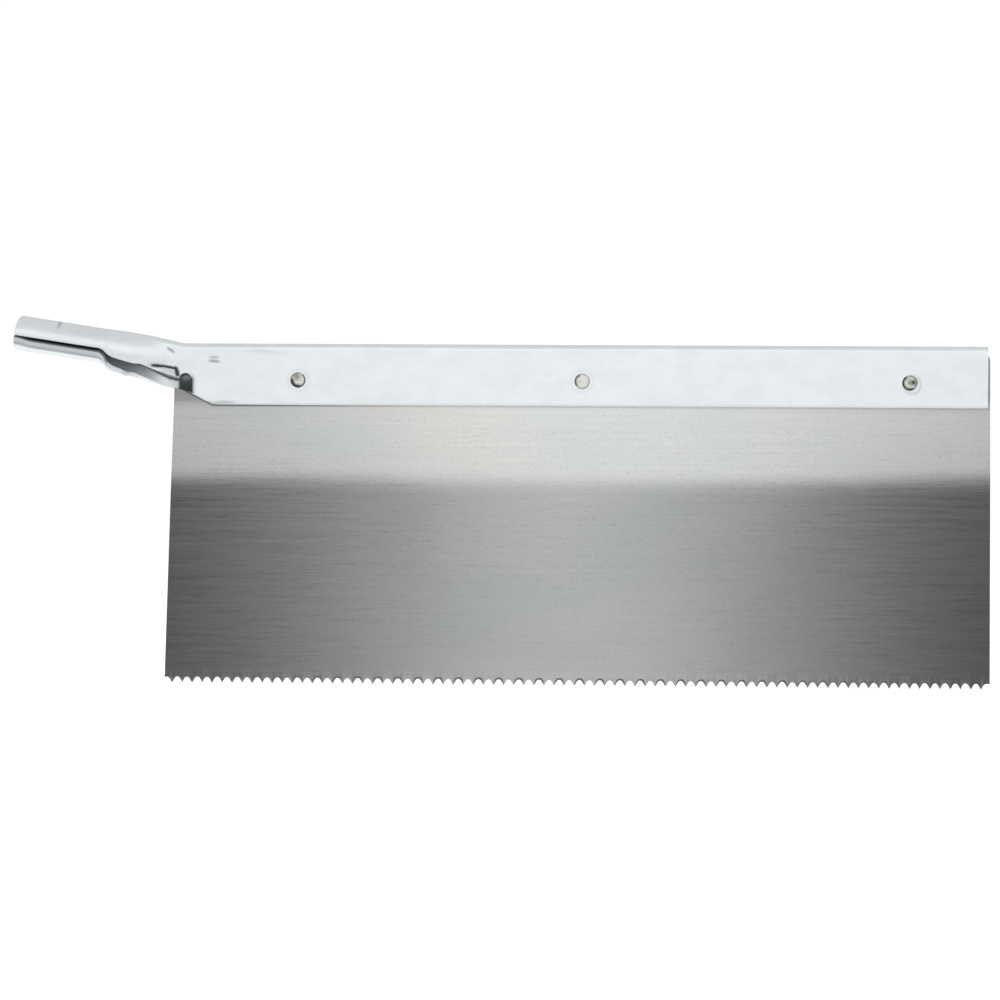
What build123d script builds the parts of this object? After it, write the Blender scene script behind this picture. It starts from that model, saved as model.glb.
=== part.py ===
from build123d import *
import math
import os

# Back saw blade unit: a thin toothed plate gripped in a folded sheet-metal back,
# whose heel end is rolled into a round split tang for a handle.
#
# Frame, in millimetres: the origin is on the tang's axis, at the middle of its
# straight stretch. +X runs along the back towards the toe, +Z is up, away from the
# teeth, and Y goes through the thickness of the plate, with the tang's seam at -Y.

# ---- Driving dimensions ------------------------------------------------------

# Toothed edge
TEETH_PER_INCH = 16
TOOTH_COUNT = 81
TOOTH_ANGLE = 60.0            # included angle of each tooth
GULLET_RADIUS = 0.45
FIRST_TIP_X = 18.1            # first tooth tip, ahead of the tang's middle
HEEL_LAND = 1.2               # plain edge behind the first tip
TOE_LAND = 1.36               # plain edge ahead of the last tip

# Plate
PLATE_THICKNESS = 0.38
OVERALL_DEPTH = 53.5          # top of the back down to the tooth tips
HEEL_LEAN = 1.7               # how far the heel edge leans towards the toe, tooth line to top
TOE_LEAN = 0.4                # how far the toe edge leans back towards the heel
PLATE_TOP_BELOW_BACK = 1.3    # plate's top edge, hidden inside the fold
TOE_CORNER_RADIUS = 0.8

# Relief cut in the plate's upper heel corner, which clears the rolled neck
RELIEF_HEEL_DROP = 7.0        # below the top of the back
RELIEF_TOE_DROP = 7.9
RELIEF_LENGTH = 2.7

# Folded back
SHEET_THICKNESS = 0.8
BACK_HEIGHT = 9.6
BACK_TOP_Z = -0.6
BACK_HEEL_X = 19.9            # where the neck meets the straight fold
BACK_TOE_X = 145.7

SLOT_HEEL_X = 19.4            # slot in the front side, between the neck and the straight fold
SLOT_TOE_X = 21.1
SLOT_TOP_DROP = 4.7           # below the top of the back
SLOT_ROUNDING = 0.45          # radius at the slot's top, as a share of its width
CORNER_TOE_X = 24.4           # slanted lower heel corner of both sides
CORNER_DROP = 7.8             # where it starts on the front side

# Rolled tang
TANG_DIAMETER = 5.5
TANG_LENGTH = 14.0
TANG_TILT = 8.6               # degrees that the tang's heel end is raised
TANG_FRONT_TURN = 102.0       # degrees of roll from the top to the front edge of the seam
TANG_REAR_TURN = 244.0        # and round the rear to its other edge

# Rivets
RIVET_DIAMETER = 2.4
RIVET_DROP = 5.7              # centre below the top of the back
RIVET_X = {"rivet_heel": 38.0, "rivet_middle": 82.6, "rivet_toe": 133.6}
RIVET_EDGE_BREAK = 0.15
RIVET_DISH_RADIUS = 0.7
RIVET_DISH_DEPTH = 0.25

OVERCUT = 1.0                 # how far cutting outlines run past the metal

# ---- Sizes that follow from them ---------------------------------------------

PITCH = 25.4 / TEETH_PER_INCH
HALF_TOOTH = math.radians(TOOTH_ANGLE / 2)
SHARP_DEPTH = PITCH / 2 / math.tan(HALF_TOOTH)
TOOTH_DEPTH = SHARP_DEPTH - GULLET_RADIUS / math.sin(HALF_TOOTH) + GULLET_RADIUS
LAST_TIP_X = FIRST_TIP_X + PITCH * (TOOTH_COUNT - 1)
TIP_Z = BACK_TOP_Z - OVERALL_DEPTH
ROOT_Z = TIP_Z + TOOTH_DEPTH
FLANK_RUN = TOOTH_DEPTH * math.tan(HALF_TOOTH)
HEEL_X = FIRST_TIP_X - HEEL_LAND
TOE_X = LAST_TIP_X + TOE_LAND
PLATE_TOP_Z = BACK_TOP_Z - PLATE_TOP_BELOW_BACK
HEEL_SLOPE = HEEL_LEAN / (PLATE_TOP_Z - ROOT_Z)

BACK_THICKNESS = 2 * SHEET_THICKNESS + PLATE_THICKNESS
FOLD_RADIUS = (BACK_THICKNESS - SHEET_THICKNESS) / 2      # at the middle of the sheet
FOLD_HALF = FOLD_RADIUS * math.pi / 2
TANG_RADIUS = TANG_DIAMETER / 2
ROLL_RADIUS = TANG_RADIUS - SHEET_THICKNESS / 2           # at the middle of the sheet
FULL_SIDE = BACK_HEIGHT - BACK_THICKNESS / 2 + FOLD_HALF  # flat width of one side
RIVET_Z = BACK_TOP_Z - RIVET_DROP

TILT = math.radians(TANG_TILT)
TANG_AXIS = Vector(math.cos(TILT), 0, -math.sin(TILT))    # heel to toe
TANG_UP = Vector(math.sin(TILT), 0, math.cos(TILT))
KINK = TANG_AXIS * (TANG_LENGTH / 2)
KINK_TOP = KINK + TANG_UP * ROLL_RADIUS

# Flat widths of the sheet, from the top of the fold to each free edge, on the tang
TANG_FRONT = math.radians(TANG_FRONT_TURN) * ROLL_RADIUS
TANG_REAR = math.radians(TANG_REAR_TURN) * ROLL_RADIUS
# and where the neck meets the straight fold
NECK_FRONT = 5.8
NECK_REAR = 7.85
NECK_CROWN = 0.22             # how far the top of the neck bows above a straight line

# The neck between them: (share of its length, how much of the roll is left, front, rear)
NECK_STATIONS = [
    (0.00, 1.00, TANG_FRONT, TANG_REAR),
    (0.10, 0.82, 4.6, 9.9),
    (0.28, 0.70, 5.0, 9.3),
    (0.42, 0.60, 5.1, 8.0),
    (0.60, 0.36, 5.2, 7.3),
    (0.80, 0.06, 5.7, 7.1),
    (1.00, 0.00, NECK_FRONT, NECK_REAR),
]


def side_arcs(roll, width):
    """Middle line of one side of the sheet, from the top of the fold down.

    The line is a tight stretch of the fold and a gentle one, each of constant
    curvature. Returns the points (across, down, heading) at their ends and middles.
    """
    tight = (1 - roll) / FOLD_RADIUS + roll / ROLL_RADIUS
    gentle = roll / ROLL_RADIUS
    across, down, heading = 0.0, 0.0, 0.0
    points = [(across, down, heading)]
    for curvature, length in ((tight, FOLD_HALF), (gentle, width - FOLD_HALF)):
        for _ in range(2):
            step = length / 2
            if curvature:
                turned = heading + curvature * step
                across += (math.sin(turned) - math.sin(heading)) / curvature
                down += (math.cos(heading) - math.cos(turned)) / curvature
                heading = turned
            else:
                across += step * math.cos(heading)
                down += step * math.sin(heading)
            points.append((across, down, heading))
    return points


def sheet_section(plane, roll, front, rear):
    """Closed section of the bent sheet on a plane whose local X is +Y and local Y is up.

    The plane's origin is the middle of the sheet at the top of the fold.
    """
    rear_side = side_arcs(roll, rear)
    front_side = [(-a, d, -h) for a, d, h in side_arcs(roll, front)]

    def skin(points, offset):
        return [(a + offset * math.sin(h), -d + offset * math.cos(h)) for a, d, h in points]

    half = SHEET_THICKNESS / 2
    loops = []
    for offset in (half, -half):
        f, r = skin(front_side, offset), skin(rear_side, offset)
        loops.append((f, r))
    # Each stretch stays an edge of its own, so that every section has eight of them
    def place(point):
        return plane.from_local_coords(Vector(*point))

    edges = []
    for f, r in loops:
        for ends in ((f[4], f[3], f[2]), (f[2], f[0], r[2]), (r[2], r[3], r[4])):
            start, middle, end = [place(point) for point in ends]
            if roll == 0 and ends[1] is not f[0]:
                edges.append(Edge.make_line(start, end))
            else:
                edges.append(Edge.make_three_point_arc(start, middle, end))
    edges.append(Edge.make_line(place(loops[0][0][4]), place(loops[1][0][4])))
    edges.append(Edge.make_line(place(loops[0][1][4]), place(loops[1][1][4])))
    return Face(Wire(edges))


def neck_plane(share):
    """Plane of one neck section: it swings from square to the tang to upright."""
    end = Vector(BACK_HEEL_X, 0, BACK_TOP_Z - SHEET_THICKNESS / 2)
    bow = TANG_UP * (NECK_CROWN * math.sin(math.pi * share))
    top = KINK_TOP + (end - KINK_TOP) * share + bow
    angle = TILT * (1 - share)
    return Plane(origin=top, x_dir=(0, 1, 0), z_dir=(math.cos(angle), 0, -math.sin(angle)))


# ---- Blade: the toothed steel plate ------------------------------------------

RELIEF_X = HEEL_X + (BACK_TOP_Z - RELIEF_HEEL_DROP - ROOT_Z) * HEEL_SLOPE

with BuildPart() as blade:
    with BuildSketch(Plane.XZ) as plate_outline:
        with BuildLine():
            Polyline(
                (HEEL_X, ROOT_Z),
                (FIRST_TIP_X - FLANK_RUN, ROOT_Z),
                (FIRST_TIP_X, TIP_Z),
                (LAST_TIP_X, TIP_Z),
                (LAST_TIP_X + FLANK_RUN, ROOT_Z),
                (TOE_X, ROOT_Z),
                (TOE_X - TOE_LEAN, PLATE_TOP_Z),
                (RELIEF_X + RELIEF_LENGTH, PLATE_TOP_Z),
                (RELIEF_X + RELIEF_LENGTH, BACK_TOP_Z - RELIEF_TOE_DROP),
                (RELIEF_X, BACK_TOP_Z - RELIEF_HEEL_DROP),
                close=True,
            )
        make_face()
        fillet(plate_outline.vertices().sort_by(Axis.Y)[-1:].sort_by(Axis.X)[-1], TOE_CORNER_RADIUS)
        # gullets: a V between two tooth flanks, with a round top
        with BuildSketch(mode=Mode.PRIVATE) as gullet:
            with BuildLine():
                Polyline((-PITCH / 2, 0), (0, SHARP_DEPTH), (PITCH / 2, 0), close=True)
            make_face()
            fillet(gullet.vertices().sort_by(Axis.Y)[-1], GULLET_RADIUS)
        middle = (FIRST_TIP_X + LAST_TIP_X) / 2
        with Locations((middle, TIP_Z)):
            with GridLocations(PITCH, 0, TOOTH_COUNT - 1, 1):
                add(gullet.sketch, mode=Mode.SUBTRACT)
    extrude(amount=PLATE_THICKNESS / 2, both=True)
    with BuildSketch(Plane.XZ):
        with Locations(*[(x, RIVET_Z) for x in RIVET_X.values()]):
            Circle(RIVET_DIAMETER / 2)
    extrude(amount=PLATE_THICKNESS, both=True, mode=Mode.SUBTRACT)

# ---- Back: one folded sheet, rolled into the tang at its heel end ------------

with BuildPart() as back:
    # rolled tang
    tang_section = sheet_section(neck_plane(0), 1, TANG_FRONT, TANG_REAR)
    extrude(tang_section, amount=TANG_LENGTH, dir=-TANG_AXIS)
    # neck
    loft([sheet_section(neck_plane(share), *shape) for share, *shape in NECK_STATIONS])
    # straight fold
    fold_section = sheet_section(neck_plane(1), 0, FULL_SIDE, FULL_SIDE)
    extrude(fold_section, amount=BACK_TOE_X - BACK_HEEL_X, dir=(1, 0, 0))
    # slot and slanted heel corner of the front side
    with BuildSketch(Plane.XZ.offset(PLATE_THICKNESS / 2)) as front_cut:
        with BuildLine():
            Polyline(
                (SLOT_HEEL_X, BACK_TOP_Z - BACK_HEIGHT - OVERCUT),
                (SLOT_HEEL_X, BACK_TOP_Z - SLOT_TOP_DROP),
                (SLOT_TOE_X, BACK_TOP_Z - SLOT_TOP_DROP),
                (SLOT_TOE_X, BACK_TOP_Z - CORNER_DROP),
                (CORNER_TOE_X, BACK_TOP_Z - BACK_HEIGHT),
                (CORNER_TOE_X, BACK_TOP_Z - BACK_HEIGHT - OVERCUT),
                close=True,
            )
        make_face()
        top = front_cut.vertices().group_by(Axis.Y)[-1]
        fillet(top, (SLOT_TOE_X - SLOT_HEEL_X) * SLOT_ROUNDING)
    extrude(amount=BACK_THICKNESS, mode=Mode.SUBTRACT)
    # slanted heel corner of the rear side
    with BuildSketch(Plane.XZ.offset(-PLATE_THICKNESS / 2)):
        with BuildLine():
            neck_drop = NECK_REAR - FOLD_HALF + BACK_THICKNESS / 2
            Polyline(
                (BACK_HEEL_X, BACK_TOP_Z - neck_drop),
                (CORNER_TOE_X, BACK_TOP_Z - BACK_HEIGHT),
                (CORNER_TOE_X, BACK_TOP_Z - BACK_HEIGHT - OVERCUT),
                (BACK_HEEL_X, BACK_TOP_Z - BACK_HEIGHT - OVERCUT),
                close=True,
            )
        make_face()
    extrude(amount=-BACK_THICKNESS, mode=Mode.SUBTRACT)
    # rivet holes
    with BuildSketch(Plane.XZ):
        with Locations(*[(x, RIVET_Z) for x in RIVET_X.values()]):
            Circle(RIVET_DIAMETER / 2)
    extrude(amount=BACK_THICKNESS, both=True, mode=Mode.SUBTRACT)

# ---- Rivets: solid pins, set flush with a shallow dish in each end -----------


def make_rivet(label, x):
    """One rivet at its place along the back."""
    half = BACK_THICKNESS / 2
    radius = RIVET_DIAMETER / 2
    axis_plane = Plane(origin=(x, 0, RIVET_Z), x_dir=(1, 0, 0), z_dir=(0, 0, 1))
    with BuildPart() as rivet:
        with BuildSketch(axis_plane):
            with BuildLine():
                Polyline(
                    (0, -half + RIVET_DISH_DEPTH),
                    (RIVET_DISH_RADIUS, -half),
                    (radius - RIVET_EDGE_BREAK, -half),
                    (radius, -half + RIVET_EDGE_BREAK),
                    (radius, half - RIVET_EDGE_BREAK),
                    (radius - RIVET_EDGE_BREAK, half),
                    (RIVET_DISH_RADIUS, half),
                    (0, half - RIVET_DISH_DEPTH),
                    close=True,
                )
            make_face()
        revolve(axis=Axis((x, 0, RIVET_Z), (0, 1, 0)))
    rivet.part.label = label
    return rivet.part


# ---- Write each piece --------------------------------------------------------

os.makedirs("parts", exist_ok=True)

blade.part.label = "blade"
export_step(blade.part, "parts/blade.step")

back.part.label = "back"
export_step(back.part, "parts/back.step")

for name, x in RIVET_X.items():
    export_step(make_rivet(name, x), f"parts/{name}.step")
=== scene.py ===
"""Looks of a back saw's blade unit: toothed plate, folded back with its split tang, and rivets."""

import logging
import math
from dataclasses import dataclass
from enum import Enum
from typing import Sequence

import bmesh
import bpy
from mathutils import Matrix, Vector, noise


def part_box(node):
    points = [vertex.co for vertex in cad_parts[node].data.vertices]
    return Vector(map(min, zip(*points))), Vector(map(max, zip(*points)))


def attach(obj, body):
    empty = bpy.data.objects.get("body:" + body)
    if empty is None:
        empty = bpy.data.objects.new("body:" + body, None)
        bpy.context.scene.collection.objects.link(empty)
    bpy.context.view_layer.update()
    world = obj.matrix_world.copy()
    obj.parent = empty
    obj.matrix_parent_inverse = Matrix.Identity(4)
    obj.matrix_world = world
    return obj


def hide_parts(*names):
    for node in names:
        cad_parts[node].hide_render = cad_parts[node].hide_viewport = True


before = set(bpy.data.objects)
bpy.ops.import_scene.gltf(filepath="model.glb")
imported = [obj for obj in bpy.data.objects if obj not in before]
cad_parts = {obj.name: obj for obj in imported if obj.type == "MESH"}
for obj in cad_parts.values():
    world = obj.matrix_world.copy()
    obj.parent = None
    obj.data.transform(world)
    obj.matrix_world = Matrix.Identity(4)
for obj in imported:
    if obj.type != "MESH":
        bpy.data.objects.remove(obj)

log = logging.getLogger("back_saw")

MM = 0.001
BODY = "root"
# Mesh attribute that carries painted shade: how far each place is darkened in its colour.
SHADE_ATTRIBUTE = "shade_mask"

Point = tuple[float, float, float]
Spot = tuple[float, float, float, float]
ShadeSpot = tuple[float, float, float, float]


# ---- Small helpers -----------------------------------------------------------


def smoothstep(low: float, high: float, value: float) -> float:
    """Smooth step from 0 at low to 1 at high.

    Args:
        low: Where the step starts.
        high: Where the step ends; it may be under low, and the step then falls.
        value: Where the step is read.

    Returns:
        A number from 0 to 1.
    """
    share = min(1.0, max(0.0, (value - low) / (high - low)))
    return share * share * (3 - 2 * share)


def bell(value: float, middle: float, width: float) -> float:
    """A bell curve of height 1.

    Args:
        value: Where the curve is read.
        middle: Where its top is.
        width: Its half width at 1/e of the height.

    Returns:
        A number from 0 to 1.
    """
    return math.exp(-(((value - middle) / width) ** 2))


def curve_through(stops: Sequence[tuple[float, float]], value: float) -> float:
    """Cubic curve through stops that keeps its slope from one span to the next.

    Args:
        stops: Pairs of place and height, places rising.
        value: Where the curve is read, held inside the stops.

    Returns:
        The height at value.
    """
    last = len(stops) - 1
    value = min(max(value, stops[0][0]), stops[last][0])
    span = next(i for i in range(last) if value <= stops[i + 1][0])

    def slope(i: int) -> float:
        """Slope at one stop, zero where the line turns back.

        Args:
            i: Number of the stop.

        Returns:
            The slope.
        """
        if i in (0, last):
            j = 1 if i == 0 else last
            return (stops[j][1] - stops[j - 1][1]) / (stops[j][0] - stops[j - 1][0])
        before = (stops[i][1] - stops[i - 1][1]) / (stops[i][0] - stops[i - 1][0])
        after = (stops[i + 1][1] - stops[i][1]) / (stops[i + 1][0] - stops[i][0])
        return 0.0 if before * after <= 0 else 2 * before * after / (before + after)

    (x0, h0), (x1, h1) = stops[span], stops[span + 1]
    run = x1 - x0
    t = (value - x0) / run
    return (
        h0 * (2 * t**3 - 3 * t**2 + 1)
        + h1 * (3 * t**2 - 2 * t**3)
        + slope(span) * run * (t**3 - 2 * t**2 + t)
        + slope(span + 1) * run * (t**3 - t**2)
    )


def spread(*stretches: tuple[float, float, float]) -> list[float]:
    """Places along a line, with a spacing of their own on each stretch.

    Args:
        stretches: Start, end and largest spacing of each stretch, one after the other.

    Returns:
        The places, both ends included and none twice.
    """
    places = [stretches[0][0]]
    for start, end, spacing in stretches:
        count = max(1, math.ceil((end - start) / spacing - 1e-6))
        places += [start + (end - start) * (i + 1) / count for i in range(count)]
    return places


def mesh_object(name: str, points: Sequence[Point], faces: Sequence[Sequence[int]]) -> bpy.types.Object:
    """A mesh object at the origin from points in millimetres.

    Args:
        name: Name of the object.
        points: Corners, in millimetres.
        faces: Corners of each face, by number.

    Returns:
        The object, linked to the scene.
    """
    mesh = bpy.data.meshes.new(name)
    mesh.from_pydata([Vector(p) * MM for p in points], [], faces)
    made = bpy.data.objects.new(name, mesh)
    bpy.context.scene.collection.objects.link(made)
    return made


def weld(made: bpy.types.Object, distance: float, sharp: float) -> None:
    """Merge doubled corners, turn the faces outwards and shade smoothly up to an angle.

    Args:
        made: Object whose mesh is finished.
        distance: Corners nearer than this become one, in millimetres.
        sharp: Edges that turn by more than this many degrees stay sharp.
    """
    shell = bmesh.new()
    shell.from_mesh(made.data)
    bmesh.ops.remove_doubles(shell, verts=shell.verts, dist=distance * MM)
    bmesh.ops.recalc_face_normals(shell, faces=shell.faces)
    shell.to_mesh(made.data)
    shell.free()
    made.data.polygons.foreach_set("use_smooth", [True] * len(made.data.polygons))
    made.data.set_sharp_from_angle(angle=math.radians(sharp))


def bake_modifiers(made: bpy.types.Object) -> None:
    """Turn an object's modifiers into its plain mesh.

    Args:
        made: The object, whose modifiers are removed.
    """
    graph = bpy.context.evaluated_depsgraph_get()
    graph.update()
    result = bpy.data.meshes.new_from_object(made.evaluated_get(graph))
    made.modifiers.clear()
    made.data = result


def join(made: bpy.types.Object, other: bpy.types.Object) -> None:
    """Add another object's mesh to this one and remove the other.

    Args:
        made: Object that is kept.
        other: Object that is added and removed.
    """
    shell = bmesh.new()
    shell.from_mesh(made.data)
    shell.from_mesh(other.data)
    shell.to_mesh(made.data)
    shell.free()
    bpy.data.objects.remove(other)


# ---- Node trees --------------------------------------------------------------


class Nodes:
    """A node tree that is built one node at a time."""

    def __init__(self, tree: bpy.types.NodeTree) -> None:
        """Start from an empty tree."""
        self.tree = tree
        tree.nodes.clear()

    def add(self, kind: str, settings: dict | None = None, **sockets: object) -> bpy.types.Node:
        """Add a node, its settings first and then its sockets.

        Args:
            kind: Blender's type name of the node.
            settings: Properties of the node; "stops" are a ramp's places and colours.
            sockets: Value or link of each input, by name or identifier, with _ for a space.

        Returns:
            The new node.
        """
        node = self.tree.nodes.new(kind)
        for key, value in (settings or {}).items():
            if key == "stops":
                self._fill_ramp(node.color_ramp, value)
            else:
                setattr(node, key, value)
        for key, value in sockets.items():
            self._fill(self._input(node, key), value)
        return node

    @staticmethod
    def _input(node: bpy.types.Node, key: str) -> bpy.types.NodeSocket:
        """Find an input by identifier, or else by name, among those in use.

        Args:
            node: Node whose inputs are searched.
            key: Identifier or name, with _ for a space.

        Returns:
            The input.
        """
        wanted = (key, key.replace("_", " "))
        for socket in node.inputs:
            if socket.identifier in wanted:
                return socket
        return next(s for s in node.inputs if s.name in wanted and s.enabled)

    def _fill(self, socket: bpy.types.NodeSocket, value: object) -> None:
        """Set a socket's own value, or link it.

        Args:
            socket: The input.
            value: A plain value, another socket or a number on one.
        """
        if isinstance(value, Maths):
            value = value.socket
        if isinstance(value, bpy.types.NodeSocket):
            self.tree.links.new(value, socket)
        else:
            socket.default_value = value

    @staticmethod
    def _fill_ramp(ramp: bpy.types.ColorRamp, stops: Sequence[tuple[float, float]]) -> None:
        """Give a ramp grey stops.

        Args:
            ramp: The ramp.
            stops: Place and brightness of each stop.
        """
        while len(ramp.elements) < len(stops):
            ramp.elements.new(1.0)
        for element, (place, grey) in zip(ramp.elements, stops):
            element.position = place
            element.color = (grey, grey, grey, 1)


class Maths:
    """A number on a socket, which takes part in expressions."""

    def __init__(self, nodes: Nodes, socket: bpy.types.NodeSocket) -> None:
        """Wrap a socket of a tree."""
        self.nodes = nodes
        self.socket = socket

    def _apply(self, operation: str, *values: object) -> "Maths":
        """Add a Math node.

        Args:
            operation: Blender's name of the operation.
            values: Numbers, or numbers on sockets, in the node's order.

        Returns:
            The node's result.
        """
        node = self.nodes.add("ShaderNodeMath", {"operation": operation})
        for socket, value in zip(node.inputs, values):
            self.nodes._fill(socket, value)
        return Maths(self.nodes, node.outputs[0])

    def __add__(self, other: "Maths | float") -> "Maths":
        """Sum."""
        return self._apply("ADD", self, other)

    __radd__ = __add__

    def __sub__(self, other: "Maths | float") -> "Maths":
        """Difference."""
        return self._apply("SUBTRACT", self, other)

    def __rsub__(self, other: float) -> "Maths":
        """Difference from a number."""
        return self._apply("SUBTRACT", other, self)

    def __mul__(self, other: "Maths | float") -> "Maths":
        """Product."""
        return self._apply("MULTIPLY", self, other)

    __rmul__ = __mul__

    def __truediv__(self, other: "Maths | float") -> "Maths":
        """Quotient."""
        return self._apply("DIVIDE", self, other)

    def __abs__(self) -> "Maths":
        """Distance from zero."""
        return self._apply("ABSOLUTE", self)

    def most(self, other: "Maths | float") -> "Maths":
        """The larger of the two."""
        return self._apply("MAXIMUM", self, other)

    def step(self, low: float, high: float) -> "Maths":
        """Smooth step from 0 at low to 1 at high, or falling where low is above high.

        Args:
            low: Where the step is 0.
            high: Where the step is 1.

        Returns:
            The step, from 0 to 1.
        """
        rising = low < high
        node = self.nodes.add(
            "ShaderNodeMapRange",
            {"interpolation_type": "SMOOTHSTEP"},
            Value=self,
            From_Min=min(low, high),
            From_Max=max(low, high),
            To_Min=0.0 if rising else 1.0,
            To_Max=1.0 if rising else 0.0,
        )
        return Maths(self.nodes, node.outputs[0])

    def bell(self, middle: float, width: float) -> "Maths":
        """A bell curve of height 1.

        Args:
            middle: Where its top is.
            width: Its half width at 1/e of the height.

        Returns:
            The height at this number.
        """
        away = (self - middle) / width
        return self._apply("EXPONENT", away * away * -1.0)


class Finish:
    """A metal finish: its shader and the patterns that vary it."""

    def __init__(self, name: str) -> None:
        """Start a material with the piece's own coordinates, in millimetres.

        Args:
            name: Name of the material.
        """
        self.material = bpy.data.materials.new(name)
        self.material.use_nodes = True
        self.nodes = Nodes(self.material.node_tree)
        self.place = self.nodes.add("ShaderNodeTexCoord").outputs["Object"]
        split = self.nodes.add("ShaderNodeSeparateXYZ", Vector=self.place)
        self.x, self.y, self.z = (Maths(self.nodes, s) * (1 / MM) for s in split.outputs)

    def shade_mask(self) -> Maths:
        """How much painted shade the piece's mesh puts on each place, from 0 to 1."""
        made = self.nodes.add("ShaderNodeAttribute", {"attribute_name": SHADE_ATTRIBUTE})
        return Maths(self.nodes, made.outputs["Fac"])

    def pattern(self, per_mm: Point, detail: float, roughness: float = 0.5, offset: float = 0.0) -> Maths:
        """Noise with its own fineness along each axis.

        Args:
            per_mm: How many features to a millimetre along X, Y and Z.
            detail: How many finer layers are added.
            roughness: How strong the finer layers are.
            offset: Shift of the pattern, so that two of them differ.

        Returns:
            The noise, about 0.5 on average.
        """
        stretched = self.nodes.add(
            "ShaderNodeMapping",
            Vector=self.place,
            Location=(offset, offset, offset),
            Scale=tuple(f / MM for f in per_mm),
        )
        made = self.nodes.add(
            "ShaderNodeTexNoise",
            Vector=stretched.outputs[0],
            Scale=1.0,
            Detail=detail,
            Roughness=roughness,
        )
        return Maths(self.nodes, made.outputs["Fac"])

    def blend(self, share: Maths, low: Sequence[float], high: Sequence[float]) -> bpy.types.NodeSocket:
        """Colour between two, by a share from 0 to 1.

        Args:
            share: 0 for the first colour and 1 for the second.
            low: First colour, or a colour socket.
            high: Second colour.

        Returns:
            The colour's socket.
        """
        mix = self.nodes.add(
            "ShaderNodeMix",
            {"data_type": "RGBA"},
            Factor_Float=share,
            A_Color=low if isinstance(low, bpy.types.NodeSocket) else (*low, 1),
            B_Color=(*high, 1),
        )
        return next(s for s in mix.outputs if s.identifier == "Result_Color")

    def shade(
        self,
        colour: bpy.types.NodeSocket,
        roughness: Maths,
        height: Maths,
        depth: float,
        metal: float = 1.0,
    ) -> None:
        """Put the patterns on a bare metal shader.

        Args:
            colour: Base colour.
            roughness: Roughness over the surface.
            height: Height of the fine relief, from 0 to 1.
            depth: How tall that relief is, in millimetres.
            metal: How metallic the surface is; matt plating is under 1.
        """
        bump = self.nodes.add("ShaderNodeBump", Height=height, Distance=depth * MM, Strength=1.0)
        shader = self.nodes.add(
            "ShaderNodeBsdfPrincipled",
            Base_Color=colour,
            Metallic=metal,
            Roughness=roughness,
            Normal=bump.outputs[0],
        )
        self.nodes.add("ShaderNodeOutputMaterial", Surface=shader.outputs[0])


@dataclass(frozen=True)
class BrushedSteel:
    """Cold-rolled spring steel of the plate, brushed along its length.

    A pattern's three numbers are its features to a millimetre along X, Y and Z.
    """

    colour: Point = (0.66, 0.66, 0.645)
    tint: Point = (0.60, 0.635, 0.63)
    stain: Point = (0.42, 0.42, 0.40)
    bright: Point = (0.80, 0.80, 0.79)
    # Colour of the painted shadow and the painted shade.
    dark: Point = (0.06, 0.06, 0.058)
    hairlines: Point = (0.11, 1.0, 3.4)
    scratches: Point = (2.4, 2.0, 6.0)
    streaks: Point = (0.022, 0.5, 1.6)
    clouds: Point = (0.035, 0.1, 0.06)
    specks: Point = (2.2, 2.2, 2.6)
    roughness: float = 0.115
    relief: float = 0.0012
    teeth_line: float = -51.6
    lip_z: float = -10.3
    lip_corner: float = 24.4
    lip_slope: float = 0.53
    lip_shadow: float = 0.13

    def make(self) -> bpy.types.Material:
        """Build the material.

        Returns:
            The finished material.
        """
        f = Finish("brushed_steel")
        hair = f.pattern(self.hairlines, 4.0, 0.72)
        streak = f.pattern(self.streaks, 4.0, 0.6, 3.1)
        cloud = f.pattern(self.clouds, 3.0, 0.5, 7.7)
        speck = f.pattern(self.specks, 1.0, 0.4, 1.3).step(0.76, 0.84)
        above_teeth = f.z.step(self.teeth_line - 0.5, self.teeth_line + 0.3)
        colour = f.blend(cloud.step(0.35, 0.7) * above_teeth, self.colour, self.tint)
        scratch = f.pattern(self.scratches, 3.0, 0.75, 5.3)
        colour = f.blend((0.5 - hair) * 1.5 + (0.5 - scratch) * 2.0 + speck * 0.4, colour, self.stain)
        colour = f.blend(streak.step(0.62, 0.85) * 0.25, colour, self.bright)
        # Painted shadow: a thin dark line on the plate just under the lip of the back, stronger towards the
        # heel, added to the mesh's painted shade on turned faces.
        lip = (self.lip_corner - f.x).most(0.0) * self.lip_slope + self.lip_z
        line = (f.z - lip).bell(-0.03, self.lip_shadow) * (0.25 + 0.6 * f.x.step(60.0, 24.0))
        painted_shade = f.shade_mask()
        colour = f.blend(line.most(painted_shade), colour, self.dark)
        rough = self.roughness + (hair - 0.5) * 0.05 + (streak - 0.5) * 0.05
        f.shade(colour, rough, hair * 0.6 + streak * 0.4, self.relief)
        return f.material


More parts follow.
